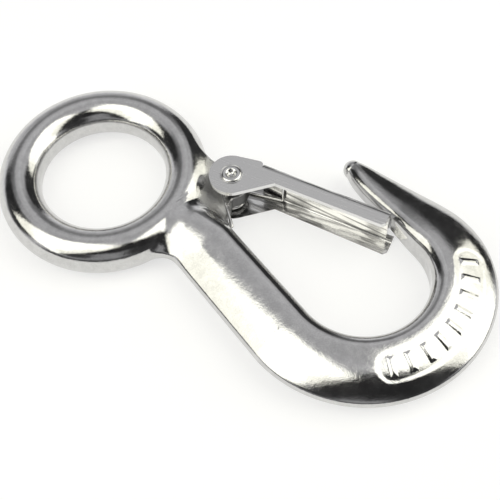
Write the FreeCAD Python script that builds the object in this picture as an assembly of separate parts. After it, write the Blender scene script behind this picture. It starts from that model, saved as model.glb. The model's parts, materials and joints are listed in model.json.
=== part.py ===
import FreeCAD, Part
import math
import os

os.makedirs("parts", exist_ok=True)

# A forged stainless steel eye hook with a spring latch, lying on its side. Millimetres.
# The origin is the centre of the eye, +X runs along the load line to the bowl,
# +Y points to the side that the hook opens on, and +Z is the axis of the eye and of the latch.

# Eye: a round ring with a narrow trimmed land around its hole
EYE_RING_R = 20.25          # centre line of the ring
EYE_SECTION_R = 5.25
EYE_BORE_R = 15.1

# Section of the shank and bowl: two wide crowned faces, a tight edge on the outside and a
# rounder edge towards the mouth. Every value is a share of the section's size:
# (outer half width, inner half width, half thickness, crown radius, crest's place across,
#  inner edge radius)
FORGED_SECTION = (1.03, 0.96, 0.70, 2.75, -0.66, 0.42)
ROUND_SECTION = (1.0, 1.0, 1.0, 1.05, 0.0, 0.95)        # what it turns into at the point

# Shank and bowl: the section follows a line and two tangent arcs
SHANK_ANGLE = -26.7         # direction of the shank's centre line, degrees from +X
SHANK_START_SIZE = 5.4      # size of the section where the shank grows out of the ring
SHANK_START_ROUNDNESS = 0.8 # the neck is nearly round, as thick as the ring
SHANK_SIZE = 7.55
SHANK_GROWTH = 13.0         # length over which the shank grows to its full section
SHANK_FILLET_R = 5.0        # between the ring and the shank
BOWL_SIZE = 7.7
BACK_ARC_CENTRE = (67.1, 0.85)
BACK_ARC_R = 23.2
FRONT_ARC_R = 18.3
ARCS_MEET_ANGLE = 10.0      # where the back arc hands over to the tighter front arc
FRONT_ARC_END = 71.5        # where the front arc ends and the arm to the point starts
FRONT_ARC_STATIONS = 6      # sections along the front arc, which slims down to the arm
ARM_START_SIZE = 7.0

# Arm and point: (distance along the arm, shift away from the latch, size, roundness)
ARM_SECTIONS = [(4.0, 0.1, 6.5, 0.0), (9.0, 0.25, 5.4, 0.0), (14.0, 0.1, 4.7, 0.1),
                (20.0, 0.0, 3.8, 0.4), (23.5, 0.2, 3.1, 0.7), (26.0, 0.55, 2.15, 1.0)]
POINT_R = 2.3
POINT_BACK = 0.75           # the rounded point's centre, back from the last section

# Recessed rating panel on the bowl, with plain raised bars
PANEL_WIDTH = 6.4
PANEL_DEPTH = 0.45
PANEL_R = 24.2              # middle of the panel, from the back arc's centre
PANEL_ANGLES = (-52.0, 30.0)
PANEL_BARS = 9
BAR_LENGTH, BAR_WIDTH = 3.8, 1.1
BAR_BELOW, BAR_ABOVE = 0.4, 0.3     # depth below and height above the panel's floor

# Lug that the latch hangs on
PIVOT_X, PIVOT_Y = 29.65, 10.4
LUG_THICKNESS = 4.6
LUG_BOSS_R = 4.1
LUG_FOOT = (35.7, -1.5)     # where its front edge meets the shank
LUG_HEEL = (19.4, 14.6)     # where its back edge meets the ring

# Latch: a channel of folded sheet, open towards the shank
SHEET = 1.2
LATCH_WIDTH = 12.6
LATCH_BACK_Y = 16.8        # outer face of the web
WEB_START_X = 35.4
CHEEK_EDGE_Y = 12.3         # free edge of the cheeks
CHEEK_CORNER_X = 40.0       # where the cheeks widen towards the pivot
UPPER_END_X = 67.6
LOWER_END_X = 69.2
LOWER_EDGE_DROP = 0.7       # the lower cheek is a little wider at its end
LOWER_LOBE = 2.0            # height of the part of the channel that reaches LOWER_END_X
CORNER_CUT = 0.8
FOLD_R = 1.7
CHEEK_END_R = 5.3

# Rivet
RIVET_R = 2.1
RIVET_HEAD_R = 2.7
RIVET_HEAD_HEIGHT = 0.4
RUNNING_GAP = 0.05

# Double torsion spring: a coil each side of the lug, joined by a bridge under the web
WIRE_R = 0.4
COIL_R = 2.9
COIL_PITCH = 0.82
COIL_GAP = 0.05             # between the coil, the lug and the cheek
LEG_END = (35.18, -0.54)    # where the free legs press on the shank
BRIDGE = (41.0, 15.12)      # where the bridge crosses under the web
FULL_TURNS = 2

V = FreeCAD.Vector
UP = V(0, 0, 1)
ORIGIN = V(0, 0, 0)


def polar(centre, radius, angle):
    """The point at radius and angle (degrees) around centre, in the plane of the hook."""
    a = math.radians(angle)
    return V(centre[0] + radius * math.cos(a), centre[1] + radius * math.sin(a), 0)


def direction(angle):
    return polar((0, 0), 1.0, angle)


def section_sizes(size, roundness):
    """The section's lengths, with the outer edge's radius, which makes both faces meet in it."""
    outer, inner, thick, crown, crest, inner_r = [
        size * ((1 - roundness) * forged + roundness * plain)
        for forged, plain in zip(FORGED_SECTION, ROUND_SECTION)]
    reach = outer - crest
    outer_r = (crown ** 2 - (thick - crown) ** 2 - reach ** 2) / (2 * (crown - reach))
    return outer, inner, thick, crown, crest, outer_r, inner_r


def section_wire(centre, outward, size, roundness=0.0):
    """The closed outline of the section at centre, standing across the hook's centre line."""
    outer, inner, thick, crown, crest, outer_r, inner_r = section_sizes(size, roundness)
    crown_z = thick - crown
    outer_u, inner_u = outer - outer_r, inner_r - inner
    inner_z = crown_z + math.sqrt((crown - inner_r) ** 2 - (inner_u - crest) ** 2)
    outer_turn = math.atan2(outer_u - crest, -crown_z)
    inner_turn = math.atan2(inner_u - crest, inner_z - crown_z)
    level = math.pi / 2

    def arc(u, z, radius, start, end, side):
        turns = (start, (start + end) / 2, end)
        points = [centre + outward * (u + radius * math.sin(turn))
                  + UP * (side * (z + radius * math.cos(turn))) for turn in turns]
        return Part.Arc(*points).toShape()

    def face(side):
        return [arc(outer_u, 0, outer_r, level, outer_turn, side),
                arc(crest, crown_z, crown, outer_turn, inner_turn, side),
                arc(inner_u, inner_z, inner_r, inner_turn, -level, side)]

    wall_foot = centre - outward * inner - UP * inner_z
    wall = Part.makeLine(wall_foot + UP * (2 * inner_z), wall_foot)
    return Part.Wire(face(1) + [wall] + face(-1)[::-1])


def circle_wire(centre, normal, radius):
    return Part.Wire([Part.makeCircle(radius, centre, normal)])


SHIFT = polar((0, 0), BACK_ARC_R - FRONT_ARC_R, ARCS_MEET_ANGLE)
FRONT_ARC_CENTRE = (BACK_ARC_CENTRE[0] + SHIFT.x, BACK_ARC_CENTRE[1] + SHIFT.y)
SHANK_DIRECTION = direction(SHANK_ANGLE)
SHANK_END = polar(BACK_ARC_CENTRE, BACK_ARC_R, SHANK_ANGLE - 90)
ARM_START = polar(FRONT_ARC_CENTRE, FRONT_ARC_R, FRONT_ARC_END)
ARM_DIRECTION = direction(FRONT_ARC_END + 90)
ARM_OUTWARD = direction(FRONT_ARC_END)
SHANK_OUTWARD = direction(SHANK_ANGLE - 90)


def shank_start():
    """The point where the shank's centre line meets the ring's centre line."""
    along = SHANK_END.dot(SHANK_DIRECTION)
    inside = along ** 2 - SHANK_END.dot(SHANK_END) + EYE_RING_R ** 2
    return SHANK_END - SHANK_DIRECTION * (along - math.sqrt(inside))


def make_ring():
    """The ring, turned so that its seam lies away from the shank."""
    ring = Part.makeTorus(EYE_RING_R, EYE_SECTION_R)
    ring.rotate(ORIGIN, UP, 180)
    return ring


def eye_hole():
    return Part.makeCylinder(EYE_BORE_R, 20, V(0, 0, -10), UP)


def make_shank():
    start = shank_start()
    neck = start + SHANK_DIRECTION * SHANK_GROWTH
    wires = [section_wire(start, SHANK_OUTWARD, SHANK_START_SIZE, SHANK_START_ROUNDNESS),
             section_wire(neck, SHANK_OUTWARD, SHANK_SIZE),
             section_wire(SHANK_END, SHANK_OUTWARD, BOWL_SIZE)]
    return Part.makeLoft(wires, True, True)


def make_back_of_bowl():
    """The full section turned about the back arc's centre."""
    face = Part.Face(section_wire(SHANK_END, SHANK_OUTWARD, BOWL_SIZE))
    centre = V(BACK_ARC_CENTRE[0], BACK_ARC_CENTRE[1], 0)
    return face.revolve(centre, UP, ARCS_MEET_ANGLE - (SHANK_ANGLE - 90))


def make_front_of_bowl():
    """The front arc, the arm and the rounded point, lofted through sections."""
    wires = []
    for index in range(FRONT_ARC_STATIONS):
        share = index / (FRONT_ARC_STATIONS - 1)
        angle = ARCS_MEET_ANGLE + share * (FRONT_ARC_END - ARCS_MEET_ANGLE)
        size = BOWL_SIZE + (ARM_START_SIZE - BOWL_SIZE) * share ** 2
        centre = polar(FRONT_ARC_CENTRE, FRONT_ARC_R, angle)
        wires.append(section_wire(centre, direction(angle), size))
    for along, shift, size, roundness in ARM_SECTIONS:
        centre = ARM_START + ARM_DIRECTION * along + ARM_OUTWARD * shift
        wires.append(section_wire(centre, ARM_OUTWARD, size, roundness))
    point = Part.makeSphere(POINT_R, centre - ARM_DIRECTION * POINT_BACK)
    return [Part.makeLoft(wires, True, False), point]


def make_lug():
    """The flat lug between the ring and the shank, with a round boss about the pivot."""
    half = LUG_THICKNESS / 2
    boss = Part.makeCylinder(LUG_BOSS_R, LUG_THICKNESS, V(PIVOT_X, PIVOT_Y, -half), UP)
    root = shank_start()
    in_shank = root + SHANK_DIRECTION * SHANK_GROWTH
    outline = [LUG_HEEL, (PIVOT_X, PIVOT_Y + LUG_BOSS_R), (PIVOT_X, PIVOT_Y - LUG_BOSS_R + 0.2),
               LUG_FOOT, (in_shank.x, in_shank.y), (root.x, root.y)]
    corners = [V(x, y, -half) for x, y in outline]
    plate = Part.Face(Part.makePolygon(corners + corners[:1])).extrude(UP * LUG_THICKNESS)
    return plate.fuse(boss)


def annular_sector(centre, middle_r, width, angles, bottom, height):
    """A flat strip that follows an arc, with rounded ends."""
    inner_r, outer_r = middle_r - width / 2, middle_r + width / 2
    start, end = angles
    middle = (start + end) / 2
    cap = math.degrees(width / 2 / middle_r)
    p = [polar(centre, outer_r, start), polar(centre, outer_r, middle),
         polar(centre, outer_r, end), polar(centre, middle_r, end + cap),
         polar(centre, inner_r, end), polar(centre, inner_r, middle),
         polar(centre, inner_r, start), polar(centre, middle_r, start - cap)]
    arcs = [Part.Arc(p[i], p[i + 1], p[(i + 2) % 8]).toShape() for i in range(0, 8, 2)]
    face = Part.Face(Part.Wire(arcs))
    face.translate(UP * bottom)
    return face.extrude(UP * height)


def face_height(across):
    """Height of the bowl's crowned upper face at a distance outward from the centre line."""
    _, _, thick, crown, crest, _, _ = section_sizes(BOWL_SIZE, 0.0)
    return thick - crown + math.sqrt(crown ** 2 - (across - crest) ** 2)


def layer_over_face(half_width, below, above):
    """A band that follows the bowl's sloping upper face, from below to above the panel's floor."""
    middle = PANEL_R - BACK_ARC_R
    corners = []
    for across, lift in ((-half_width, below), (half_width, below),
                         (half_width, above), (-half_width, above)):
        height = face_height(middle + across) - PANEL_DEPTH + lift
        corners.append(V(BACK_ARC_CENTRE[0] + PANEL_R + across, BACK_ARC_CENTRE[1], height))
    band = Part.Face(Part.makePolygon(corners + corners[:1]))
    centre = V(BACK_ARC_CENTRE[0], BACK_ARC_CENTRE[1], 0)
    margin = 15.0
    band.rotate(centre, UP, PANEL_ANGLES[0] - margin)
    return band.revolve(centre, UP, PANEL_ANGLES[1] - PANEL_ANGLES[0] + 2 * margin)


def add_panel(body):
    """Sinks the rating panel into the upper face of the bowl and stands the bars in it."""
    outline = annular_sector(BACK_ARC_CENTRE, PANEL_R, PANEL_WIDTH, PANEL_ANGLES, 0.0, 20.0)
    body = body.cut(layer_over_face(PANEL_WIDTH / 2 + 1, 0.0, 3.0).common(outline))
    step = (PANEL_ANGLES[1] - PANEL_ANGLES[0]) / (PANEL_BARS - 1)
    blanks = []
    for index in range(PANEL_BARS):
        angle = PANEL_ANGLES[0] + index * step
        blank = Part.makeBox(2 * BAR_LENGTH, BAR_WIDTH, 20, V(-BAR_LENGTH, -BAR_WIDTH / 2, 0))
        blank.rotate(ORIGIN, UP, angle)
        blank.translate(polar(BACK_ARC_CENTRE, PANEL_R, angle))
        blanks.append(blank)
    layer = layer_over_face(BAR_LENGTH / 2, -BAR_BELOW, BAR_ABOVE)
    return body.fuse(layer.common(Part.makeCompound(blanks)))


def rivet_hole(radius):
    return Part.makeCylinder(radius, 30, V(PIVOT_X, PIVOT_Y, -15), UP)


def joins_shank(edge):
    """Whether the edge is part of the curve where the ring and the shank meet."""
    if edge.Curve.TypeId == "Part::GeomCircle":
        return False
    first, last = edge.ParameterRange
    points = [edge.valueAt(first + share * (last - first)) for share in (0.0, 0.5, 1.0)]
    gaps = [math.hypot(math.hypot(p.x, p.y) - EYE_RING_R, p.z) - EYE_SECTION_R for p in points]
    return max(abs(gap) for gap in gaps) < 0.01


def make_ring_and_shank():
    """The ring and the shank, with a fillet along the curve where they meet."""
    joined = make_ring().fuse(make_shank())
    seams = [edge for edge in joined.Edges if joins_shank(edge)]
    return joined.makeFillet(SHANK_FILLET_R, seams)


def make_hook_body():
    pieces = [make_back_of_bowl()] + make_front_of_bowl() + [make_lug()]
    body = add_panel(make_ring_and_shank().multiFuse(pieces).cut(eye_hole()).removeSplitter())
    return body.cut(rivet_hole(RIVET_R)).Solids[0]


def tangent_point(centre, radius, outside, side):
    """Where the tangent from the point outside touches a circle, on the side +1 or -1."""
    dx, dy = outside[0] - centre[0], outside[1] - centre[1]
    angle = math.atan2(dy, dx) + side * math.acos(radius / math.hypot(dx, dy))
    return polar(centre, radius, math.degrees(angle))


def cheek_face(end_x, edge_drop):
    """The flat outline of one cheek, from its round end to the latch's free end."""
    pivot = (PIVOT_X, PIVOT_Y)
    shoulder = (WEB_START_X, LATCH_BACK_Y)
    corner = (CHEEK_CORNER_X, CHEEK_EDGE_Y)
    end_y = CHEEK_EDGE_Y - edge_drop
    top = tangent_point(pivot, CHEEK_END_R, shoulder, 1)
    bottom = tangent_point(pivot, CHEEK_END_R, corner, -1)
    far = V(PIVOT_X - CHEEK_END_R, PIVOT_Y, 0)
    line = [bottom, V(*corner, 0), V(end_x - CORNER_CUT, end_y, 0),
            V(end_x, end_y + CORNER_CUT, 0), V(end_x, LATCH_BACK_Y, 0), V(*shoulder, 0), top]
    return Part.Face(Part.Wire([Part.makePolygon(line), Part.Arc(top, far, bottom).toShape()]))


def folded_block(back_y, half_width, fold_r):
    """A long block whose two edges at back_y are rounded."""
    block = Part.makeBox(LOWER_END_X - WEB_START_X, 30, 2 * half_width,
                         V(WEB_START_X, back_y - 30, -half_width))
    folds = [edge for edge in block.Edges
             if edge.BoundBox.YMin > back_y - 0.01 and edge.BoundBox.XLength > 1]
    return block.makeFillet(fold_r, folds)


def cheek_plate(z, thickness, end_x, edge_drop):
    face = cheek_face(end_x, edge_drop)
    face.translate(UP * z)
    return face.extrude(UP * thickness)


def make_latch():
    half = LATCH_WIDTH / 2
    channel = folded_block(LATCH_BACK_Y, half, FOLD_R)
    channel = channel.cut(folded_block(LATCH_BACK_Y - SHEET, half - SHEET, FOLD_R - SHEET))
    outline = cheek_plate(-half, LOWER_LOBE, LOWER_END_X, LOWER_EDGE_DROP)
    outline = outline.fuse(cheek_plate(-half, LATCH_WIDTH, UPPER_END_X, 0))
    near_pivot = Part.makeBox(60, 60, 20, V(WEB_START_X - 60, PIVOT_Y - 30, -10))
    upper = cheek_plate(half - SHEET, SHEET, UPPER_END_X, 0).common(near_pivot)
    lower = cheek_plate(-half, SHEET, LOWER_END_X, LOWER_EDGE_DROP).common(near_pivot)
    latch = channel.common(outline).multiFuse([upper, lower])
    return latch.cut(rivet_hole(RIVET_R + RUNNING_GAP)).removeSplitter().Solids[0]


def make_rivet():
    half = LATCH_WIDTH / 2 + RUNNING_GAP
    pin = Part.makeCylinder(RIVET_R, 2 * half, V(PIVOT_X, PIVOT_Y, -half), UP)
    top_r = RIVET_HEAD_R - RIVET_HEAD_HEIGHT
    heads = [Part.makeCone(RIVET_HEAD_R, top_r, RIVET_HEAD_HEIGHT,
                           V(PIVOT_X, PIVOT_Y, side * half), UP * side) for side in (-1, 1)]
    return pin.multiFuse(heads).removeSplitter().Solids[0]


def rod(start, end):
    return Part.makeCylinder(WIRE_R, (end - start).Length, start, end - start)


def make_half_spring(side):
    """One coil with its free leg and its leg to the bridge; side is +1 above the lug."""
    pivot = (PIVOT_X, PIVOT_Y)
    first_z = LUG_THICKNESS / 2 + COIL_GAP + WIRE_R
    leave = tangent_point(pivot, COIL_R, LEG_END, -1)
    arrive = tangent_point(pivot, COIL_R, BRIDGE, 1)
    centre = V(PIVOT_X, PIVOT_Y, 0)
    leave_angle = math.degrees(math.atan2(leave.y - PIVOT_Y, leave.x - PIVOT_X))
    arrive_angle = math.degrees(math.atan2(arrive.y - PIVOT_Y, arrive.x - PIVOT_X))
    turns = FULL_TURNS + ((leave_angle - arrive_angle) % 360) / 360
    height = turns * COIL_PITCH
    # A left-handed helix falls clockwise, from the free leg out to the cheek
    helix = Part.makeHelix(COIL_PITCH, height, COIL_R, 0, True)
    profile = circle_wire(V(COIL_R, 0, 0), V(0, -1, 0), WIRE_R)
    coil = Part.Wire(helix).makePipeShell([profile], True, True)
    coil.rotate(ORIGIN, UP, leave_angle)
    coil.translate(centre + UP * first_z)
    last_z = first_z + height
    leg = rod(V(*LEG_END, first_z), leave + UP * first_z)
    bridge_end = V(BRIDGE[0], BRIDGE[1], last_z)
    arm = rod(arrive + UP * last_z, bridge_end)
    half_bridge = rod(bridge_end, V(BRIDGE[0], BRIDGE[1], 0))
    balls = [Part.makeSphere(WIRE_R, p) for p in
             (leave + UP * first_z, arrive + UP * last_z, bridge_end)]
    half = coil.multiFuse([leg, arm, half_bridge] + balls)
    return half if side > 0 else half.mirror(ORIGIN, UP)


def make_spring():
    return make_half_spring(1).fuse(make_half_spring(-1)).Solids[0]


PARTS = {
    "hook_body": make_hook_body,
    "latch": make_latch,
    "latch_rivet": make_rivet,
    "latch_spring": make_spring,
}

for name, make in PARTS.items():
    shape = make()
    box = shape.BoundBox
    print(name, shape.ShapeType, "valid", shape.isValid(), "volume", round(shape.Volume, 1),
          [round(v, 2) for v in (box.XMin, box.YMin, box.ZMin, box.XMax, box.YMax, box.ZMax)])
    shape.exportStep("parts/" + name + ".step")
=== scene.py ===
import json
import math
import bmesh
import bpy
import numpy as np
from mathutils import Matrix, Vector


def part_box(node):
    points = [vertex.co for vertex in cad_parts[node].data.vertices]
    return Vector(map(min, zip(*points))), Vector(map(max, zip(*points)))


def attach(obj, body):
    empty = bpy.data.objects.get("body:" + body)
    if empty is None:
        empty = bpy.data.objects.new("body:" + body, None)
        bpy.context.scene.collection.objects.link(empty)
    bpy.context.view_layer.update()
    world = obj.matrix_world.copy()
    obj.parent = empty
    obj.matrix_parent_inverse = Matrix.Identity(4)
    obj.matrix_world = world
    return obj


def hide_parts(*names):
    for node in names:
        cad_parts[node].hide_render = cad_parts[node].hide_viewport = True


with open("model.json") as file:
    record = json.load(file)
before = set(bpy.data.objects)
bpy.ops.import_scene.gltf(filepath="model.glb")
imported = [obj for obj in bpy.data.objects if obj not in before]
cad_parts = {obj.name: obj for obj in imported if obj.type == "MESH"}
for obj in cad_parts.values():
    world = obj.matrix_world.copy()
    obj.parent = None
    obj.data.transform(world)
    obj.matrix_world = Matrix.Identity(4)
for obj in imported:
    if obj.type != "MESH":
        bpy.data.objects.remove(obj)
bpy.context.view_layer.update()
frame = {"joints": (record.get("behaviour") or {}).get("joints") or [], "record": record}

# A forged, polished stainless eye hook with a folded sheet latch, on a pale studio floor.
# Shapes are worked out in millimetres in the row frame and scaled to metres at the end.
MM = 0.001
PIVOT = np.array(frame["joints"][0]["pos_m"][:2]) / MM
EYE_MOUNT = frame["record"]["mounts"][0]
EYE_BORE_R = EYE_MOUNT["dims"]["r_mm"]

# ---------------------------------------------------------------- driving sizes, mm
# Eye and shank
EYE_RING_R = 20.25
EYE_SECTION_R = 5.25
SHANK_ANGLE = -26.7
SHANK_START = (20.2, -1.5)        # on the ring's centre line
SHANK_INSET = 2.0                 # the rod starts this far along, inside the ring
JOIN_BLEND = 7.0                  # softness of the join between ring and shank, at the flanks
JOIN_FACE_SHARE = 0.3             # the same join at the faces, as a share of that
JOIN_LEAST = 0.4                  # and inside the ring
BORE_EDGE = 0.25
# Bowl: two tangent arcs, then the straight arm
BACK_ARC_CENTRE = (67.1, 0.85)
BACK_ARC_R = 23.2
FRONT_ARC_R = 18.3
ARCS_MEET_ANGLE = 10.0
FRONT_ARC_END = 71.5
ARM_LENGTH = 25.3
# Section of the forging, as shares of its size: outer half width, inner half width, half
# thickness, crown radius of both faces, place of the crest across, inner edge radius
FORGED_SECTION = (1.03, 0.96, 0.70, 2.75, -0.66, 0.42)
ROUND_SECTION = (1.0, 1.0, 1.0, 1.05, 0.0, 0.95)
# Along the centre line: (segment, distance along it, size, shift outward, roundness)
SHANK, BACK, FRONT, ARM = range(4)
SECTIONS = [(SHANK, 0.0, 3.4, 0.0, 0.8), (SHANK, 5.0, 6.2, 0.0, 0.5),
            (SHANK, 13.0, 7.5, 0.0, 0.0),
            (BACK, 0.0, 7.7, 0.0, 0.0), (FRONT, 0.0, 7.7, 0.0, 0.0),
            (FRONT, 12.0, 7.45, 0.0, 0.0), (ARM, 0.0, 7.0, 0.0, 0.0),
            (ARM, 4.0, 6.45, 0.1, 0.0), (ARM, 9.0, 5.45, 0.2, 0.0),
            (ARM, 14.0, 4.7, 0.1, 0.1), (ARM, 20.0, 3.75, 0.05, 0.4),
            (ARM, 23.5, 3.0, 0.2, 0.8), (ARM, 25.3, 2.35, 0.45, 1.0)]
SECTION_SMOOTHING = 1.4           # along the centre line
# Lug
LUG_THICKNESS = 4.6
LUG_BOSS_R = 4.1
LUG_FOOT = (35.7, -1.5)
LUG_HEEL = (19.4, 14.6)
LUG_BLEND = 2.6                   # softness of its join with ring and shank
LUG_EDGE = 0.9                    # softness of its own edges
RIVET_R = 2.1
# Latch: a channel of folded sheet, open towards the shank
SHEET = 1.2
LATCH_WIDTH = 12.6
LATCH_BACK_Y = 16.8
WEB_START_X = 35.4
CHEEK_EDGE_Y = 12.3
CHEEK_CORNER_X = 40.0
UPPER_END_X, LOWER_END_X = 67.6, 69.2
LOWER_EDGE_DROP, LOWER_LOBE = 0.7, 2.0
CORNER_CUT = 0.8                  # at the far end of each cheek
WEB_CORNER_CUT = 1.5              # where the web starts
FOLD_R = 1.7
CHEEK_END_R = 5.3
EDGE_BREAK = 0.16                 # the sheared edges are tumbled round
# Rivet and spring
RIVET_HEAD_R = 2.7
RIVET_GAP = 0.05
WIRE_R, COIL_R = 0.38, 2.9
FIRST_RISE, COIL_PITCH = 0.86, 0.78   # the first turn stands clear of the leg
LEG_OVERLAP = 44.0                # degrees of the coil's level start that hold a leg
COIL_START_Z = 2.7
FULL_TURNS = 2
LEG_END = (35.18, -0.54)
BRIDGE = (41.0, 15.12)
# Rating panel
PANEL_WIDTH = 6.4
PANEL_DEPTH = 0.24
PANEL_FADE = 0.5                  # the pocket's depth at its lower end, as a share
PANEL_R = 24.2
PANEL_ANGLES = (-52.0, 30.0)
PANEL_BARS = 9
BAR_LENGTH, BAR_WIDTH, BAR_HEIGHT = 3.8, 1.1, 0.18
# Mesh
BODY_STEP = 0.45                  # grid that the forged body's surface is built on
BODY_BENDS = ((9.0, 0.3), (9.0, 0.18), (12.0, 0.1))   # degrees an edge may turn, least length


def unit(angle):
    """The direction at an angle in degrees."""
    return np.array([math.cos(math.radians(angle)), math.sin(math.radians(angle))])


# ---------------------------------------------------------------- the hook's centre line
START_DIR, START_OUT = unit(SHANK_ANGLE), unit(SHANK_ANGLE - 90)
START = np.array(SHANK_START)
BACK_CENTRE = np.array(BACK_ARC_CENTRE)
FRONT_CENTRE = BACK_CENTRE + (BACK_ARC_R - FRONT_ARC_R) * unit(ARCS_MEET_ANGLE)
ARM_START = FRONT_CENTRE + FRONT_ARC_R * unit(FRONT_ARC_END)
ARM_DIR, ARM_OUT = unit(FRONT_ARC_END + 90), unit(FRONT_ARC_END)
SHANK_LENGTH = (BACK_CENTRE + BACK_ARC_R * START_OUT - START) @ START_DIR
BACK_SPAN = math.radians(ARCS_MEET_ANGLE - (SHANK_ANGLE - 90))
FRONT_SPAN = math.radians(FRONT_ARC_END - ARCS_MEET_ANGLE)
LENGTHS = [SHANK_LENGTH, BACK_ARC_R * BACK_SPAN, FRONT_ARC_R * FRONT_SPAN, ARM_LENGTH]
BEGINS = np.concatenate([[0.0], np.cumsum(LENGTHS)])


def smoothed_sections():
    """Section size, outward shift and roundness at close steps along the centre line."""
    at = np.array([BEGINS[row[0]] + row[1] for row in SECTIONS])
    fine = np.arange(0.0, BEGINS[-1], 0.2)
    reach = np.arange(-4.0, 4.001, 0.2) * SECTION_SMOOTHING
    kernel = np.exp(-0.5 * (reach / SECTION_SMOOTHING) ** 2)
    kernel /= kernel.sum()
    smooth = []
    for column in (2, 3, 4):
        rough = np.interp(fine, at, [row[column] for row in SECTIONS])
        padded = np.pad(rough, len(kernel) // 2, mode="reflect", reflect_type="odd")
        smooth.append(np.convolve(padded, kernel, mode="valid"))
    smooth[2] = np.clip(smooth[2], 0.0, 1.0)
    return fine, smooth


SECTION_AT, (SECTION_SIZE, SECTION_SHIFT, ROUNDNESS) = smoothed_sections()


def on_line(x, y, start, along, outward, low, high):
    """Nearest point on a line: distance along it, the point and the outward direction."""
    s = np.clip((x - start[0]) * along[0] + (y - start[1]) * along[1], low, high)
    return s, start[0] + s * along[0], start[1] + s * along[1], outward[0], outward[1]


def on_arc(x, y, centre, radius, begin, span):
    """The same for an arc that starts at the angle begin, in degrees, and turns by span."""
    middle = math.radians(begin) + span / 2
    turn = np.arctan2(y - centre[1], x - centre[0]) - middle
    turn = np.clip((turn + math.pi) % (2 * math.pi) - math.pi, -span / 2, span / 2)
    out_x, out_y = np.cos(middle + turn), np.sin(middle + turn)
    return (radius * (turn + span / 2), centre[0] + radius * out_x, centre[1] + radius * out_y,
            out_x, out_y)


def section_field(across, z, size, roundness):
    """Signed distance to the forging's section, which is the same above and below."""
    outer, inner, thick, crown, crest, inner_r = [
        size * (forged + roundness * (plain - forged))
        for forged, plain in zip(FORGED_SECTION, ROUND_SECTION)]
    reach = outer - crest
    outer_r = (crown ** 2 - (thick - crown) ** 2 - reach ** 2) / (2 * (crown - reach))
    z = np.abs(z)
    crown_z = thick - crown
    outer_u, inner_u = outer - outer_r, inner_r - inner
    inner_z = crown_z + np.sqrt((crown - inner_r) ** 2 - (inner_u - crest) ** 2)
    turn = np.arctan2(across - crest, z - crown_z)
    face = np.hypot(across - crest, z - crown_z) - crown
    outer_edge = np.hypot(across - outer_u, z) - outer_r
    inner_edge = np.hypot(across - inner_u, z - inner_z) - inner_r
    inner_edge = np.where(z < inner_z, -across - inner, inner_edge)
    field = np.where(turn > np.arctan2(outer_u - crest, -crown_z), outer_edge, face)
    return np.where(turn < np.arctan2(inner_u - crest, inner_z - crown_z), inner_edge, field)


def rod_field(x, y, z):
    """Signed distance, roughly, to the shank, bowl and arm."""
    found = [on_line(x, y, START, START_DIR, START_OUT, SHANK_INSET, SHANK_LENGTH),
             on_arc(x, y, BACK_CENTRE, BACK_ARC_R, SHANK_ANGLE - 90, BACK_SPAN),
             on_arc(x, y, FRONT_CENTRE, FRONT_ARC_R, ARCS_MEET_ANGLE, FRONT_SPAN),
             on_line(x, y, ARM_START, ARM_DIR, ARM_OUT, 0.0, ARM_LENGTH)]
    best = np.full(x.shape, np.inf)
    for begin, (s, near_x, near_y, out_x, out_y) in zip(BEGINS, found):
        shift = np.interp(begin + s, SECTION_AT, SECTION_SHIFT)
        dx, dy = x - near_x - shift * out_x, y - near_y - shift * out_y
        u = dx * out_x + dy * out_y
        past_end = np.abs(dy * out_x - dx * out_y)
        at_point = begin + s > BEGINS[-1] - 0.01
        u = np.where(at_point, np.where(u < 0, -1.0, 1.0) * np.hypot(u, past_end), u)
        field = section_field(u, z, np.interp(begin + s, SECTION_AT, SECTION_SIZE),
                              np.interp(begin + s, SECTION_AT, ROUNDNESS))
        beside = ~at_point & (past_end > 1e-9)
        field = np.where(beside, np.maximum(field, past_end), field)
        best = np.where(field < best, field, best)
    return best


def soft_min(a, b, blend):
    """The smaller of two distances, rounded where they are about equal."""
    share = np.clip(0.5 + 0.5 * (b - a) / blend, 0.0, 1.0)
    return b + (a - b) * share - blend * share * (1.0 - share)


def soft_max(a, b, blend):
    """The larger of two distances, rounded where they are about equal."""
    return -soft_min(-a, -b, blend)


def smooth_step(value, low, high):
    """From 0 at low to 1 at high, level at both ends."""
    t = np.clip((value - low) / (high - low), 0.0, 1.0)
    return t * t * (3.0 - 2.0 * t)


def half_plane(x, y, a, b):
    """Signed distance past the line from a to b, positive on its right."""
    dx, dy = b[0] - a[0], b[1] - a[1]
    return ((x - a[0]) * dy - (y - a[1]) * dx) / math.hypot(dx, dy)


def lug_field(x, y, z):
    """The flat lug: a round boss about the pivot on a wedge that grows out of ring and shank."""
    top = (PIVOT[0] - 0.2, PIVOT[1] + LUG_BOSS_R)
    front = (PIVOT[0] + 1.8, PIVOT[1] - LUG_BOSS_R + 0.45)
    root = START + 14.0 * START_DIR
    boss = np.hypot(x - PIVOT[0], y - PIVOT[1]) - LUG_BOSS_R
    wedge = soft_max(half_plane(x, y, top, LUG_HEEL), half_plane(x, y, LUG_FOOT, front), 0.5)
    hidden = np.maximum(half_plane(x, y, LUG_HEEL, START), half_plane(x, y, START, root))
    wedge = np.maximum(wedge, np.maximum(hidden, half_plane(x, y, front, top)))
    plate = soft_min(boss, wedge, 1.0)
    return soft_max(plate, np.abs(z) - LUG_THICKNESS / 2, LUG_EDGE)


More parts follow.
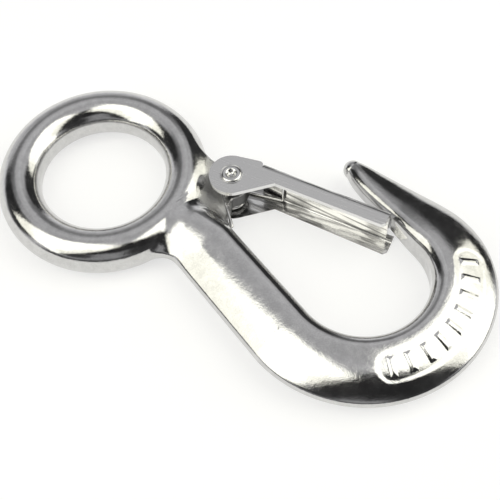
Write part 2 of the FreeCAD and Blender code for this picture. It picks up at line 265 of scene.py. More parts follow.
def panel_field(x, y, z):
    """How far the surface sinks (negative: rises) at the rating panel on the upper side."""
    angle = np.degrees(np.arctan2(y - BACK_ARC_CENTRE[1], x - BACK_ARC_CENTRE[0]))
    radius = np.hypot(x - BACK_ARC_CENTRE[0], y - BACK_ARC_CENTRE[1])
    clamped = np.radians(np.clip(angle, *PANEL_ANGLES))
    end = np.hypot(x - BACK_ARC_CENTRE[0] - PANEL_R * np.cos(clamped),
                   y - BACK_ARC_CENTRE[1] - PANEL_R * np.sin(clamped))
    deep = PANEL_FADE + (1.0 - PANEL_FADE) * smooth_step(angle, *PANEL_ANGLES)
    sunk = deep * (1.0 - smooth_step(end - PANEL_WIDTH / 2, -0.6, 0.6))
    step = (PANEL_ANGLES[1] - PANEL_ANGLES[0]) / (PANEL_BARS - 1)
    nearest = np.clip(np.round((angle - PANEL_ANGLES[0]) / step), 0, PANEL_BARS - 1)
    offset = np.radians(angle - PANEL_ANGLES[0] - nearest * step) * radius
    in_bar = np.maximum(np.abs(offset) - BAR_WIDTH / 2, np.abs(radius - PANEL_R) - BAR_LENGTH / 2)
    raised = 1.0 - smooth_step(in_bar, -0.4, 0.4)
    return np.where(z > 0, PANEL_DEPTH * sunk - BAR_HEIGHT * raised, 0.0)


def body_field(points):
    """Signed distance, roughly, to the whole forged body."""
    x, y, z = points[..., 0], points[..., 1], points[..., 2]
    around = np.hypot(x, y)
    ring = np.hypot(around - EYE_RING_R, z) - EYE_SECTION_R
    flank = 1.0 - smooth_step(np.abs(z), 0.0, EYE_SECTION_R)
    outside = smooth_step(around, EYE_RING_R - 3.0, EYE_RING_R + 3.0)
    share = JOIN_FACE_SHARE + (1.0 - JOIN_FACE_SHARE) * flank
    body = soft_min(ring, rod_field(x, y, z), JOIN_LEAST + JOIN_BLEND * outside * share)
    body = body + panel_field(x, y, z)
    body = soft_min(body, lug_field(x, y, z), LUG_BLEND)
    body = soft_max(body, EYE_BORE_R - around, BORE_EDGE)
    return np.maximum(body, RIVET_R - np.hypot(x - PIVOT[0], y - PIVOT[1]))


# ---------------------------------------------------------------- surface of a field
def gradient(field, points, reach=0.03):
    """How fast the field grows along x, y and z."""
    slopes = []
    for axis in range(3):
        offset = np.zeros(3)
        offset[axis] = reach
        slopes.append((field(points + offset) - field(points - offset)) / (2 * reach))
    return np.stack(slopes, axis=-1)


def settle(field, points, rounds=4):
    """Moves points onto the surface where the field is zero."""
    for _ in range(rounds):
        slope = gradient(field, points)
        steep = np.maximum((slope ** 2).sum(axis=1), 0.05)
        move = (field(points) / steep)[:, None] * slope
        points = points - np.clip(move, -0.6, 0.6)
    return points


def surface_net(field, low, high, step):
    """A closed mesh of four-sided faces on the surface where the field is zero."""
    counts = np.ceil((high - low) / step).astype(int) + 1
    axes = [low[axis] + step * np.arange(counts[axis]) for axis in range(3)]
    grid = np.stack(np.meshgrid(*axes, indexing="ij"), axis=-1)
    value = np.concatenate([field(part) for part in np.array_split(grid, 12)])
    points, number = cell_points(grid, value, step)
    return points, cell_faces(value < 0, number)


def cell_points(grid, value, step):
    """One point in each cell that the surface crosses, and each such cell's number."""
    inside = value < 0
    cells = tuple(n - 1 for n in value.shape)
    total = np.zeros(cells + (3,))
    crossings = np.zeros(cells)
    corner = np.zeros(3, int)
    for axis in range(3):
        others = [a for a in range(3) if a != axis]
        for i in (0, 1):
            for j in (0, 1):
                corner[:] = 0
                corner[others[0]], corner[others[1]] = i, j
                start = tuple(slice(c, c + n) for c, n in zip(corner, cells))
                corner[axis] = 1
                end = tuple(slice(c, c + n) for c, n in zip(corner, cells))
                crosses = inside[start] != inside[end]
                share = value[start] / np.where(crosses, value[start] - value[end], 1.0)
                point = grid[start].copy()
                point[..., axis] += share * step
                total += point * crosses[..., None]
                crossings += crosses
    used = crossings > 0
    number = np.full(cells, -1)
    number[used] = np.arange(used.sum())
    return total[used] / crossings[used][:, None], number


def cell_faces(inside, number):
    """A face across each grid edge that the surface crosses, facing outwards."""
    cells = number.shape
    quads = []
    for axis in range(3):
        a, b = (axis + 1) % 3, (axis + 2) % 3
        span = [slice(1, n) for n in cells]
        span[axis] = slice(0, cells[axis])
        start = tuple(span)
        span[axis] = slice(1, cells[axis] + 1)
        end = tuple(span)
        for leaving in (True, False):
            found = np.argwhere((inside[start] != inside[end]) & (inside[start] == leaving))
            offset = np.ones(3, int)
            offset[axis] = 0
            at = found + offset
            around = [(0, 0), (-1, 0), (-1, -1), (0, -1)]
            loop = []
            for da, db in around if leaving else around[::-1]:
                cell = at.copy()
                cell[:, a] += da
                cell[:, b] += db
                loop.append(number[tuple(cell.T)])
            quads.append(np.stack(loop, axis=1))
    return np.concatenate(quads)


def relax(field, points, quads, rounds=2):
    """Evens out the mesh without leaving the surface."""
    ends = np.concatenate([quads[:, [i, (i + 1) % 4]] for i in range(4)])
    count = np.bincount(ends[:, 0], minlength=len(points))
    for _ in range(rounds):
        mean = np.stack([np.bincount(ends[:, 0], points[ends[:, 1], axis], len(points))
                         for axis in range(3)], axis=1) / count[:, None]
        points = settle(field, 0.4 * points + 0.6 * mean, 2)
    return points


def refine(field, points, faces, bend, shortest):
    """Splits the edges over which the surface turns by more than bend degrees."""
    slope = gradient(field, points)
    normal = slope / np.linalg.norm(slope, axis=1, keepdims=True)
    pairs = np.sort(np.concatenate([faces[:, [i, (i + 1) % 3]] for i in range(3)]), axis=1)
    edges, which = np.unique(pairs, axis=0, return_inverse=True)
    start, end = edges.T
    turn = (normal[start] * normal[end]).sum(axis=1)
    length = np.linalg.norm(points[start] - points[end], axis=1)
    split = (turn < math.cos(math.radians(bend))) & (length > shortest)
    number = np.full(len(edges), -1)
    number[split] = len(points) + np.arange(split.sum())
    halfway = settle(field, (points[start[split]] + points[end[split]]) / 2, 3)
    points = np.concatenate([points, halfway])
    middle = number[which.ravel()].reshape(3, -1).T
    splits = (middle >= 0).sum(axis=1)
    result = [faces[splits == 0]]
    p, q, r = middle[splits == 3].T
    a, b, c = faces[splits == 3].T
    result += [np.stack(f, axis=1) for f in ((a, p, r), (p, b, q), (r, q, c), (p, q, r))]
    for shift in range(3):
        turned, mid = np.roll(faces, -shift, axis=1), np.roll(middle, -shift, axis=1)
        one = (splits == 1) & (mid[:, 0] >= 0)
        a, b, c = turned[one].T
        p = mid[one, 0]
        result += [np.stack((a, p, c), axis=1), np.stack((p, b, c), axis=1)]
        two = (splits == 2) & (mid[:, 2] < 0)
        a, b, c = turned[two].T
        p, q = mid[two, 0], mid[two, 1]
        result += [np.stack((p, b, q), axis=1)]
        result += halve(points, np.stack((a, p, q, c), axis=1))
    return points, np.concatenate(result)


def halve(points, quads):
    """Each four-sided face as two triangles, cut along its shorter diagonal."""
    a, b, c, d = quads.T
    first = np.linalg.norm(points[a] - points[c], axis=1)
    other = first > np.linalg.norm(points[b] - points[d], axis=1)
    a, b, c, d = [np.where(other, *pair) for pair in ((b, a), (c, b), (d, c), (a, d))]
    return [np.stack((a, b, c), axis=1), np.stack((a, c, d), axis=1)]


def mesh_points(mesh):
    """The mesh's points as rows."""
    flat = np.zeros(len(mesh.vertices) * 3)
    mesh.vertices.foreach_get("co", flat)
    return flat.reshape(-1, 3)


def mesh_of_field(name, field, low, high, step, bends):
    """A triangle mesh in metres on the field's surface, shaded with the field's own normals."""
    points, quads = surface_net(field, low, high, step)
    points = relax(field, settle(field, points), quads)
    faces = np.concatenate(halve(points, quads))
    for bend, shortest in bends:
        points, faces = refine(field, points, faces, bend, shortest)
    mesh = bpy.data.meshes.new(name)
    mesh.from_pydata(points.tolist(), [], faces.tolist())
    slope = gradient(field, mesh_points(mesh))
    normal = slope / np.linalg.norm(slope, axis=1, keepdims=True)
    mesh.transform(Matrix.Scale(MM, 4))
    mesh.polygons.foreach_set("use_smooth", [True] * len(mesh.polygons))
    mesh.normals_split_custom_set_from_vertices(normal.tolist())
    return mesh


def link(name, data):
    """A new object in the scene, with the given mesh, lamp or camera."""
    thing = bpy.data.objects.new(name, data)
    bpy.context.scene.collection.objects.link(thing)
    return thing


def add_piece(name, mesh, material, body, node):
    """Shows a mesh in place of a CAD node, riding on a body."""
    mesh.materials.append(material)
    piece = link(name, mesh)
    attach(piece, body)
    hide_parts(node)
    return piece


# ---------------------------------------------------------------- materials
class Nodes:
    """Builds one material or world node by node."""

    def __init__(self, owner):
        owner.use_nodes = True
        self.tree = owner.node_tree
        self.tree.nodes.clear()

    def add(self, kind, values=None, **settings):
        """A new node; a value that is a socket is linked, and any other is set."""
        node = self.tree.nodes.new(kind)
        for name, value in settings.items():
            setattr(node, name, value)
        for name, value in (values or {}).items():
            if isinstance(value, bpy.types.NodeSocket):
                self.tree.links.new(value, node.inputs[name])
            else:
                node.inputs[name].default_value = value
        return node

    def noise(self, scale, detail, stretch=(1.0, 1.0, 1.0), turn=(0.0, 0.0, 0.0)):
        """Noise drawn out stretch times longer along each turned axis."""
        place = self.add("ShaderNodeTexCoord").outputs["Object"]
        mapping = self.add("ShaderNodeMapping", {"Vector": place, "Scale": stretch,
                                                 "Rotation": turn}, vector_type="TEXTURE")
        return self.add("ShaderNodeTexNoise", {"Vector": mapping.outputs[0], "Scale": scale,
                                               "Detail": detail}).outputs["Fac"]

    def remap(self, value, low, high, to_low, to_high):
        return self.add("ShaderNodeMapRange", {"Value": value, "From Min": low, "From Max": high,
                                               "To Min": to_low, "To Max": to_high}).outputs[0]

    def mix_value(self, factor, a, b):
        return self.add("ShaderNodeMix", {0: factor, 2: a, 3: b}).outputs[0]

    def mix_color(self, factor, a, b):
        return self.add("ShaderNodeMix", {0: factor, 6: a, 7: b}, data_type="RGBA").outputs[2]

    def bump(self, height, distance, normal=None):
        """Bumps of the given height in metres, laid over another bump's normal if there is one."""
        values = {"Height": height, "Distance": distance}
        if normal:
            values["Normal"] = normal
        return self.add("ShaderNodeBump", values).outputs[0]

    def finish(self, shader):
        self.add("ShaderNodeOutputMaterial", {"Surface": shader.outputs[0]})


def steel_color(level):
    """A very slightly warm grey."""
    return (level, level * 0.995, level * 0.985, 1.0)


def polished_steel(name, level, rough):
    """Buffed stainless steel: near mirror, with faint buffing marks and a soft waviness."""
    material = bpy.data.materials.new(name)
    n = Nodes(material)
    marks = n.noise(2600.0, 2.0, (12.0, 1.0, 1.0), (0.0, 0.0, -0.47))
    cloudy = n.noise(700.0, 4.0)
    roughness = n.remap(cloudy, 0.3, 0.7, *rough)
    normal = n.bump(n.noise(240.0, 2.0), 0.00002)
    normal = n.bump(marks, 0.0000012, normal)
    n.finish(n.add("ShaderNodeBsdfPrincipled", {
        "Base Color": n.mix_color(cloudy, steel_color(level * 0.97), steel_color(level * 1.03)),
        "Metallic": 1.0, "Roughness": roughness, "Normal": normal}))
    return material


def forged_steel(name):
    """The polished body, left as cast where the wheel doesn't reach, about the lug, and with
    painted shade, near black, on the front of the lug's boss.
    """
    material = bpy.data.materials.new(name)
    n = Nodes(material)
    cast_and_shade = n.add("ShaderNodeAttribute", attribute_name="cast_and_shade").outputs["Fac"]
    grain = n.noise(2400.0, 3.0)
    ragged = n.mix_value(0.2, cast_and_shade, n.noise(900.0, 2.0))
    edge = n.remap(ragged, 0.35, 0.75, 0.0, 1.0)
    cloudy = n.noise(500.0, 4.0)
    marks = n.noise(2600.0, 2.0, (9.0, 1.0, 1.0), (0.0, 0.0, 1.1))
    polish = n.remap(cloudy, 0.3, 0.7, 0.07, 0.15)
    roughness = n.mix_value(edge, polish, n.remap(grain, 0.3, 0.7, 0.28, 0.45))
    wavy = n.bump(n.noise(150.0, 2.0), 0.00004)
    wavy = n.bump(n.noise(1300.0, 4.0), 0.000015, wavy)
    wavy = n.bump(n.noise(4200.0, 2.0), 0.00001, wavy)
    wavy = n.bump(marks, 0.000005, wavy)
    height = n.add("ShaderNodeMath", {0: grain, 1: edge}, operation="MULTIPLY").outputs[0]
    normal = n.bump(height, 0.00007, wavy)
    speckle = n.remap(n.mix_value(0.5, cloudy, n.noise(3600.0, 2.0)), 0.35, 0.65, 0.0, 1.0)
    bright = n.mix_color(speckle, steel_color(0.54), steel_color(0.66))
    color = n.mix_color(edge, bright, n.mix_color(grain, steel_color(0.5), steel_color(0.68)))
    # Painted shade: past 1.1 the attribute darkens the colour nearly to black, on the front of the
    # boss.
    painted_shade = n.remap(cast_and_shade, 1.1, 1.7, 0.0, 1.0)
    color = n.mix_color(painted_shade, color, steel_color(0.12))
    n.finish(n.add("ShaderNodeBsdfPrincipled", {
        "Base Color": color, "Metallic": 1.0, "Roughness": roughness, "Normal": normal}))
    return material


def sheet_steel(name, level, rough, scratch):
    """Rolled sheet: satin, with fine scratches along the latch."""
    material = bpy.data.materials.new(name)
    n = Nodes(material)
    along = n.noise(5200.0, 3.0, (40.0, 1.0, 1.0))
    across = n.noise(4200.0, 2.0, (14.0, 1.0, 1.0), (0.0, 0.0, 0.9))
    both = n.mix_value(0.25, along, across)
    roughness = n.remap(both, 0.35, 0.65, *rough)
    color = n.mix_color(n.remap(both, 0.35, 0.65, 0.0, 1.0), steel_color(level * 0.96),
                        steel_color(level * 1.05))
    n.finish(n.add("ShaderNodeBsdfPrincipled", {
        "Base Color": color, "Metallic": 1.0, "Roughness": roughness,
        "Normal": n.bump(both, scratch)}))
    return material


def drawn_steel_painted_streaks(name):
    """The inside of the channel: bright, with the long streaks left by the press tool in its bump,
    and along them long dark bands of painted reflection and shade, more of them near the pivot.
    """
    material = bpy.data.materials.new(name)
    n = Nodes(material)
    streaks = n.noise(620.0, 2.0, (18.0, 1.0, 1.0), (0.0, 0.14, 0.0))
    fine = n.noise(2600.0, 2.0, (30.0, 1.0, 1.0), (0.0, 0.1, 0.0))
    along = n.add("ShaderNodeSeparateXYZ", {
        0: n.add("ShaderNodeTexCoord").outputs["Object"]}).outputs[0]
    # Painted shade: the dark streaks grow towards the pivot end of the channel, where the web
    # starts.
    shade_near_pivot = n.remap(along, (WEB_START_X + 1) * MM, (WEB_START_X + 13) * MM, 0.12, 0.0)
    streaks = n.add("ShaderNodeMath", {0: streaks, 1: shade_near_pivot}, operation="ADD").outputs[0]
    # Painted reflection and shade: where the streaks are high, the colour drops from bright to
    # near black.
    dark = n.remap(streaks, 0.53, 0.6, 0.0, 1.0)
    color = n.mix_color(n.mix_value(0.2, dark, fine), steel_color(0.8), steel_color(0.25))
    normal = n.bump(streaks, 0.0001)
    normal = n.bump(fine, 0.000004, normal)
    n.finish(n.add("ShaderNodeBsdfPrincipled", {
        "Base Color": color, "Metallic": 1.0, "Roughness": n.remap(fine, 0.3, 0.7, 0.14, 0.26),
        "Normal": normal}))
    return material


# ---------------------------------------------------------------- the forged body
def mark_cast_skin_and_shade(mesh):
    """Says where the skin is as cast: 1 on the lug, and up to 2 where painted shade darkens the
    front of the boss, between the latch's cheeks.
    """
    x, y, z = mesh_points(mesh).T / MM
    facing_up = np.abs([v.normal.z for v in mesh.vertices])
    worn = smooth_step(facing_up, 0.25, 0.45) * (1.0 - smooth_step(facing_up, 0.75, 0.92))
    share = (1.0 - smooth_step(lug_field(x, y, z), 0.5, 2.2)) * (1.0 - 0.9 * worn)
    from_pivot = np.hypot(x - PIVOT[0], y - PIVOT[1])
    # Painted shade on the front half of the boss, fading out just past its round edge.
    dark = smooth_step(x - PIVOT[0], 0.0, 1.5)
    dark *= 1.0 - smooth_step(from_pivot, LUG_BOSS_R, LUG_BOSS_R + 1.2)
    cast_and_shade = mesh.attributes.new("cast_and_shade", "FLOAT", "POINT")
    cast_and_shade.data.foreach_set("value", (share + dark).astype(np.float32))


body_low, body_high = [np.array(corner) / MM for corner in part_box("hook_body")]
margin = 2.5 * BODY_STEP
body_mesh = mesh_of_field("hook_body_skin", body_field, body_low - margin, body_high + margin,
                          BODY_STEP, BODY_BENDS)
mark_cast_skin_and_shade(body_mesh)
add_piece("hook_body_skin", body_mesh, forged_steel("forged_steel"), "hook", "hook_body")


# ---------------------------------------------------------------- latch, rivet and spring
def prism(outline, low, high, place):
    """A closed outline drawn out from low to high; place turns (a, b, depth) into a point."""
    count = len(outline)
    points = [place(a, b, depth) for depth in (low, high) for a, b in outline]
    faces = [tuple(range(count))[::-1], tuple(range(count, 2 * count))]
    faces += [(i, (i + 1) % count, count + (i + 1) % count, count + i) for i in range(count)]
    mesh = bpy.data.meshes.new("prism")
    mesh.from_pydata(points, [], faces)
    bm = bmesh.new()
    bm.from_mesh(mesh)
    bmesh.ops.recalc_face_normals(bm, faces=bm.faces)
    bm.to_mesh(mesh)
    bm.free()
    return link("prism", mesh)


def finished_mesh(piece):
    """The piece's mesh with its modifiers applied; the piece itself is removed."""
    graph = bpy.context.evaluated_depsgraph_get()
    mesh = bpy.data.meshes.new_from_object(piece.evaluated_get(graph))
    bpy.data.objects.remove(piece)
    return mesh


def combine(piece, other, operation):
    """Both pieces as one new piece; the two are used up."""
    joint = piece.modifiers.new("boolean", "BOOLEAN")
    joint.operation, joint.object, joint.solver = operation, other, "EXACT"
    result = link("combined", finished_mesh(piece))
    bpy.data.objects.remove(other)
    return result


def turn_about(centre, radius, start, end, steps):
    """Points on an arc, angles in degrees."""
    angles = np.radians(np.linspace(start, end, steps))
    return [(centre[0] + radius * math.cos(a), centre[1] + radius * math.sin(a)) for a in angles]


def tangent_angle(centre, radius, outside, side):
    """Where a line from an outside point touches the circle, in degrees; side is 1 or -1."""
    dx, dy = outside[0] - centre[0], outside[1] - centre[1]
    return math.degrees(math.atan2(dy, dx) + side * math.acos(radius / math.hypot(dx, dy)))


def cheek_arc():
    """The round end of a cheek about the pivot, from the web's corner to the lower edge."""
    top = tangent_angle(PIVOT, CHEEK_END_R, (WEB_START_X, LATCH_BACK_Y), 1)
    bottom = tangent_angle(PIVOT, CHEEK_END_R, (CHEEK_CORNER_X, CHEEK_EDGE_Y), -1) + 360
    return turn_about(PIVOT, CHEEK_END_R, top, bottom, 48)


def cheek_outline(end_x, drop):
    """A whole cheek up to end_x, with its lower edge falling by drop; it reaches past the web."""
    end_y = CHEEK_EDGE_Y - drop
    return cheek_arc() + [(CHEEK_CORNER_X, CHEEK_EDGE_Y), (end_x - CORNER_CUT, end_y),
                          (end_x, end_y + CORNER_CUT), (end_x, LATCH_BACK_Y + 1.0),
                          (WEB_START_X, LATCH_BACK_Y + 1.0), (WEB_START_X, LATCH_BACK_Y)]


def cheek_front():
    """The part of a cheek in front of the web, with the web's corner cut back softly."""
    arc = cheek_arc()
    slope = (CHEEK_EDGE_Y - arc[-1][1]) / (CHEEK_CORNER_X - arc[-1][0])
    foot = (WEB_START_X, CHEEK_EDGE_Y - slope * (CHEEK_CORNER_X - WEB_START_X))
    corner, tangent = np.array((WEB_START_X, LATCH_BACK_Y)), np.array(arc[0])
    into = (tangent - corner) / np.linalg.norm(tangent - corner)
    down = np.array((0.0, -1.0))
    cut = [tuple(corner + WEB_CORNER_CUT * ((1 - t) ** 2 * down + t ** 2 * into))
           for t in np.linspace(0, 1, 7)]
    return arc + [foot] + cut


def channel_section():
    """The folded sheet's outline across the latch, as (y, z)."""
    half, depth = LATCH_WIDTH / 2, 4.0
    outline = []
    for half_width, back, radius, turn in ((half, LATCH_BACK_Y, FOLD_R, 1),
                                           (half - SHEET, LATCH_BACK_Y - SHEET,
                                            FOLD_R - SHEET, -1)):
        corner_y, corner_z = back - radius, half_width - radius
        loop = ([(depth, -half_width)]
                + turn_about((corner_y, -corner_z), radius, -90, 0, 9)
                + turn_about((corner_y, corner_z), radius, 0, 90, 9) + [(depth, half_width)])
        outline += loop[::turn]
    return outline


def flat(x, y, z):
    """Places an outline as it is, with its depth along z."""
    return x, y, z


def latch_mesh():
    """The folded channel trimmed to the cheeks' outlines, with round ends bored for the rivet."""
    half = LATCH_WIDTH / 2
    channel = prism(channel_section(), WEB_START_X, LOWER_END_X, lambda y, z, x: (x, y, z))
    reach = prism(cheek_outline(UPPER_END_X, 0.0), -half - 1, half + 1, flat)
    lobe = prism(cheek_outline(LOWER_END_X, LOWER_EDGE_DROP), -half - 1, LOWER_LOBE - half, flat)
    latch = combine(channel, combine(reach, lobe, "UNION"), "INTERSECT")
    for low in (half - SHEET, -half):
        latch = combine(latch, prism(cheek_front(), low, low + SHEET, flat), "UNION")
    bore = prism(turn_about(PIVOT, RIVET_R + RIVET_GAP, 0, 352.5, 48), -20, 20, flat)
    latch = combine(latch, bore, "DIFFERENCE")
    bevel = latch.modifiers.new("bevel", "BEVEL")
    bevel.width, bevel.segments = EDGE_BREAK, 3
    bevel.limit_method, bevel.angle_limit = "ANGLE", math.radians(40)
    bevel.harden_normals = True
    mesh = finished_mesh(latch)
    mesh.name = "latch_sheet"
    return mesh


def lathe(name, profile, segments=64):
    """A closed solid of revolution about the pivot, from (radius, z) points bottom to top."""
    angles = np.linspace(0, 2 * math.pi, segments, endpoint=False)
    points, faces = [(PIVOT[0], PIVOT[1], profile[0][1])], []
    for radius, z in profile[1:-1]:
        points += [(PIVOT[0] + radius * math.cos(a), PIVOT[1] + radius * math.sin(a), z)
                   for a in angles]
    points.append((PIVOT[0], PIVOT[1], profile[-1][1]))
    last = len(profile) - 3
    for i in range(segments):
        j = (i + 1) % segments
        faces.append((0, 1 + j, 1 + i))
        for row in range(last):
            low, high = 1 + row * segments, 1 + (row + 1) * segments
            faces.append((low + i, low + j, high + j, high + i))
        top = 1 + last * segments
        faces.append((top + i, top + j, len(points) - 1))
    mesh = bpy.data.meshes.new(name)
    mesh.from_pydata(points, [], faces)
    return mesh


def rounded(profile, steps=6):
    """The same profile, eased through its corners with a Catmull-Rom curve."""
    p = [profile[0]] + list(profile) + [profile[-1]]
    fine = []
    for a, b, c, d in zip(p, p[1:], p[2:], p[3:]):
        for t in np.linspace(0, 1, steps, endpoint=False):
            fine.append(tuple(0.5 * (2 * b[k] + (c[k] - a[k]) * t
                                     + (2 * a[k] - 5 * b[k] + 4 * c[k] - d[k]) * t ** 2
                                     + (3 * b[k] - a[k] - 3 * c[k] + d[k]) * t ** 3)
                              for k in range(2)))
    return fine + [profile[-1]]


def rivet_mesh():
    """A pin with two formed heads, each dimpled by the riveting tool."""
    foot = LATCH_WIDTH / 2 + RIVET_GAP
    head = [(RIVET_HEAD_R, foot + 0.02), (RIVET_HEAD_R - 0.05, foot + 0.09),
            (RIVET_HEAD_R - 0.2, foot + 0.09), (RIVET_HEAD_R - 0.28, foot + 0.05),
            (RIVET_HEAD_R - 0.4, foot + 0.2), (RIVET_HEAD_R - 0.65, foot + 0.34),
            (RIVET_HEAD_R - 1.0, foot + 0.39), (1.3, foot + 0.33), (1.0, foot + 0.1),
            (0.7, foot - 0.25), (0.35, foot - 0.42), (0.0, foot - 0.45)]
    upper = [(RIVET_R, foot - 0.1), (RIVET_R, foot)] + rounded(head)
    return lathe("rivet_headed", [(r, -z) for r, z in upper[::-1]] + upper)


def sweep(name, paths, radius, sides=16):
    """Round wires with hemispherical ends along the given lines of points."""
    points, faces = [], []
    for path in paths:
        path = np.array(path, float)
        along = np.gradient(path, axis=0)
        along /= np.linalg.norm(along, axis=1, keepdims=True)
        tips = np.radians([0, 30, 60, 82])
        rows = [(path[0] - along[0] * radius * math.sin(t), along[0], radius * math.cos(t))
                for t in tips[::-1]]
        rows += [(p, d, radius) for p, d in zip(path[1:-1], along[1:-1])]
        rows += [(path[-1] + along[-1] * radius * math.sin(t), along[-1], radius * math.cos(t))
                 for t in tips]
        side = np.cross(along[0], (0.0, 0.0, 1.0))
        side /= np.linalg.norm(side)
        base = len(points)
        for centre, direction, size in rows:
            side = side - direction * (side @ direction)
            side /= np.linalg.norm(side)
            other = np.cross(direction, side)
            for a in np.linspace(0, 2 * math.pi, sides, endpoint=False):
                points.append(centre + size * (math.cos(a) * side + math.sin(a) * other))
        for row in range(len(rows) - 1):
            for i in range(sides):
                j = (i + 1) % sides
                low, high = base + row * sides, base + (row + 1) * sides
                faces.append((low + i, low + j, high + j, high + i))
        faces.append(tuple(base + i for i in range(sides))[::-1])
        faces.append(tuple(base + (len(rows) - 1) * sides + i for i in range(sides)))
    mesh = bpy.data.meshes.new(name)
    mesh.from_pydata([tuple(p) for p in points], [], faces)
    return mesh


def bend(corners, radius, steps=7):
    """A line through the corners with each inner corner rounded."""
    corners = [np.array(c, float) for c in corners]
    line = [corners[0]]
    for a, b, c in zip(corners, corners[1:], corners[2:]):
        into = (a - b) / np.linalg.norm(a - b)
        out = (c - b) / np.linalg.norm(c - b)
        for t in np.linspace(0, 1, steps):
            line.append(b + radius * ((1 - t) ** 2 * into + t ** 2 * out))
    return line + [corners[-1]]


def spring_meshes():
    """The coils with the bridge under the web, and the two free legs."""
    leave = tangent_angle(PIVOT, COIL_R, LEG_END, -1)
    arrive = tangent_angle(PIVOT, COIL_R, BRIDGE, 1)
    turns = FULL_TURNS + ((leave - arrive) % 360) / 360
    wound = np.linspace(0, 360 * turns, 150)
    angle = np.radians(leave - wound)
    rise = COIL_START_Z + np.interp(wound, (0, LEG_OVERLAP, 360, 360 * turns),
                                    (0, 0, FIRST_RISE, FIRST_RISE + COIL_PITCH * (turns - 1)))
    coil = np.stack([PIVOT[0] + COIL_R * np.cos(angle), PIVOT[1] + COIL_R * np.sin(angle),
                     rise], axis=1)
    top = rise[-1]
    lower = coil * (1, 1, -1)
    bridge = bend([coil[-1], (*BRIDGE, top), (*BRIDGE, -top), lower[-1]], 0.9)
    whole = list(coil[:-1]) + bridge + list(lower[::-1][1:])
    legs = []
    for z in (COIL_START_Z, -COIL_START_Z):
        inside = [(x, y, z) for x, y in turn_about(PIVOT, COIL_R, leave - LEG_OVERLAP, leave, 16)]
        straight = np.linspace(inside[-1], (*LEG_END, z), 8)
        legs.append(np.concatenate([inside, straight[1:]]))
    return sweep("spring_coils", [whole], WIRE_R), sweep("spring_legs", legs, 0.94 * WIRE_R)


def smooth_piece(mesh):
    """Faces outwards, shades smoothly and scales to metres."""
    bm = bmesh.new()
    bm.from_mesh(mesh)
    bmesh.ops.recalc_face_normals(bm, faces=bm.faces)
    bm.to_mesh(mesh)
    bm.free()
    mesh.polygons.foreach_set("use_smooth", [True] * len(mesh.polygons))
    mesh.transform(Matrix.Scale(MM, 4))
    return mesh


def finish_latch(mesh):
    """Satin outer cheeks, a brighter inside and bright sheared edges."""
    mesh.transform(Matrix.Scale(MM, 4))
    outside, inside, sheared = range(3)
    half = LATCH_WIDTH / 2 * MM
    for face in mesh.polygons:
        by_web = face.center.y > (LATCH_BACK_Y - SHEET - 0.6) * MM and face.normal.x < 0.9
        if abs(face.normal.z) > 0.98 and abs(face.center.z) > half - 0.1 * MM:
            face.material_index = outside
        elif abs(face.normal.z) < 0.5 and not by_web:
            face.material_index = sheared
        else:
            face.material_index = inside
    return mesh


latch = add_piece("latch_sheet", finish_latch(latch_mesh()),
                  sheet_steel("latch_satin", 0.66, (0.16, 0.28), 0.000004), "latch", "latch")
latch.data.materials.append(drawn_steel_painted_streaks("latch_inside"))
latch.data.materials.append(polished_steel("sheared_edge", 0.8, (0.14, 0.24)))
add_piece("latch_rivet_headed", smooth_piece(rivet_mesh()),
          polished_steel("rivet_steel", 0.64, (0.1, 0.18)), "hook", "latch_rivet")
wire = polished_steel("spring_wire", 0.8, (0.16, 0.26))
for mesh, body in zip(spring_meshes(), ("latch", "hook")):
    add_piece(mesh.name, smooth_piece(mesh), wire, body, "latch_spring")

# ---------------------------------------------------------------- stage
FLOOR_HALF = 3.0                  # metres
floor_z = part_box("hook_body")[0].z
floor_mesh = bpy.data.meshes.new("floor")
floor_mesh.from_pydata([(FLOOR_HALF * x, FLOOR_HALF * y, floor_z)
                        for x, y in ((-1, -1), (1, -1), (1, 1), (-1, 1))], [], [(0, 1, 2, 3)])
floor = link("floor", floor_mesh)
paper = bpy.data.materials.new("light_table")
n = Nodes(paper)
n.finish(n.add("ShaderNodeBsdfPrincipled", {
    "Base Color": (0.5, 0.5, 0.5, 1.0), "Roughness": 0.8, "Specular IOR Level": 0.1,
    "Emission Color": (1.0, 1.0, 1.0, 1.0), "Emission Strength": 0.57}))
floor_mesh.materials.append(paper)


# ---------------------------------------------------------------- light and camera
WARM_WHITE = (1.0, 0.99, 0.88)
SOFTBOX_LEVEL = 1.55              # brightness of a softbox's face


def softbox(name, centre, normal, across, half, lean):
    """A softbox, leaning sideways by lean degrees; its centre and half sizes are in mm."""
    light = bpy.data.lights.new(name, "AREA")
    light.shape = "RECTANGLE"
    light.size, light.size_y = 2 * half[0] * MM, 2 * half[1] * MM
    light.color = WARM_WHITE
    light.energy = SOFTBOX_LEVEL * math.pi * light.size * light.size_y
    back = -Vector(normal).normalized()
    side = (Vector(across) - back * Vector(across).dot(back)).normalized()
    upright = back.cross(side) + math.tan(math.radians(lean)) * side
    turn = Matrix((side, upright, back)).transposed().to_4x4()
    link(name, light).matrix_world = Matrix.Translation(Vector(centre) * MM) @ turn


softbox("softbox_right", (267, 158, 536), (-0.864, -0.421, -0.277), (0.495, -0.814, -0.304),
        (252, 455), 17)
softbox("softbox_left", (-144, -206, 403), (0.344, 0.778, -0.526), (-0.795, 0.540, 0.278),
        (215, 310), 0)

# The room: dark stands and gaps in a pale ceiling, as (azimuth, elevation, half width, soft
# edge, brightness), angles in degrees
ROOM = ((-45, 20, 34, 14, 0.34), (-95, 29, 11, 8, 0.05), (-29, 24, 13, 9, 0.05),
        (-84, 52, 9, 7, 0.03), (-47, 56, 14, 7, 0.03), (-18, 46, 13, 7, 0.03),
        (-2, 34, 8, 8, 0.05), (110, 33, 4, 12, 0.2), (135, 36, 3, 12, 0.28),
        (160, 42, 5, 11, 0.18), (77, 18, 22, 8, 0.04), (190, 32, 17, 9, 0.03),
        (208, 20, 13, 10, 0.05))


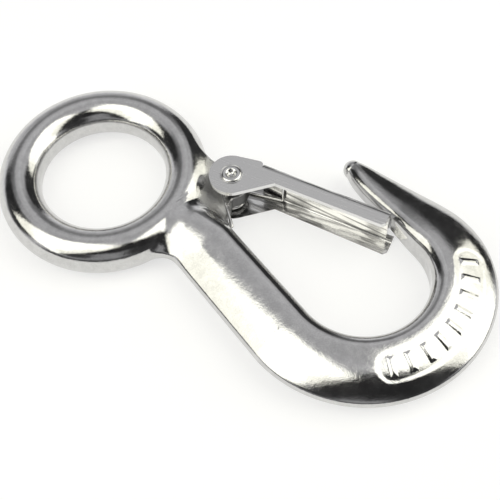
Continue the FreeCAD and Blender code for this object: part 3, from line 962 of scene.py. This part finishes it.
def room_patch(tree, toward, azimuth, elevation, wide, soft, brightness, before):
    """Mixes in one soft round patch of the room."""
    a, e = math.radians(azimuth), math.radians(elevation)
    aim = (math.cos(e) * math.cos(a), math.cos(e) * math.sin(a), math.sin(e))
    near = tree.add("ShaderNodeVectorMath", {0: toward, 1: aim}, operation="DOT_PRODUCT")
    inner, outer = math.cos(math.radians(wide)), math.cos(math.radians(wide + soft))
    share = tree.remap(near.outputs["Value"], outer, inner, 0.0, 1.0)
    return tree.mix_value(share, before, brightness)


world = bpy.data.worlds.new("studio")
bpy.context.scene.world = world
n = Nodes(world)
toward = n.add("ShaderNodeTexCoord").outputs["Generated"]
height = n.add("ShaderNodeSeparateXYZ", {0: toward}).outputs[2]
uneven = n.add("ShaderNodeTexNoise", {"Vector": toward, "Scale": 2.5, "Detail": 4.0})
level = n.add("ShaderNodeMath", {0: n.remap(height, 0.0, 0.35, 0.85, 0.57),
                                 1: n.remap(uneven.outputs["Fac"], 0.35, 0.65, 0.85, 1.2)},
              operation="MULTIPLY").outputs[0]
near_front = n.add("ShaderNodeVectorMath", {0: toward, 1: (0.71, -0.71, 0.0)},
                   operation="DOT_PRODUCT").outputs["Value"]
low_front = n.add("ShaderNodeMath", {0: n.remap(height, 0.12, 0.26, 1.0, 0.0),
                                     1: n.remap(near_front, 0.0, 0.35, 0.0, 1.0)},
                  operation="MULTIPLY").outputs[0]
for azimuth, elevation, wide, soft, brightness in ROOM:
    level = room_patch(n, toward, azimuth, elevation, wide, soft, brightness, level)
level = n.mix_value(low_front, level, 0.06)     # the dark edge of the table
shade = n.add("ShaderNodeBackground", {"Color": (0.98, 0.98, 1.0, 1.0), "Strength": level})
n.add("ShaderNodeOutputWorld", {"Surface": shade.outputs[0]})

CAMERA_AT = Vector((97.5, -106.9, 207.4)) * MM
CAMERA_AIM = Vector((40.9, -3.1, 0.0)) * MM
CAMERA_ROLL = -3.2
camera_data = bpy.data.cameras.new("camera")
camera_data.sensor_width = 36.0
camera_data.lens = 74.0
camera_data.clip_start = 0.01
camera = link("camera", camera_data)
camera.matrix_world = (Matrix.Translation(CAMERA_AT)
                       @ (CAMERA_AIM - CAMERA_AT).to_track_quat("-Z", "Y").to_matrix().to_4x4()
                       @ Matrix.Rotation(math.radians(CAMERA_ROLL), 4, "Z"))
bpy.context.scene.camera = camera
bpy.context.scene.view_settings.view_transform = "Standard"
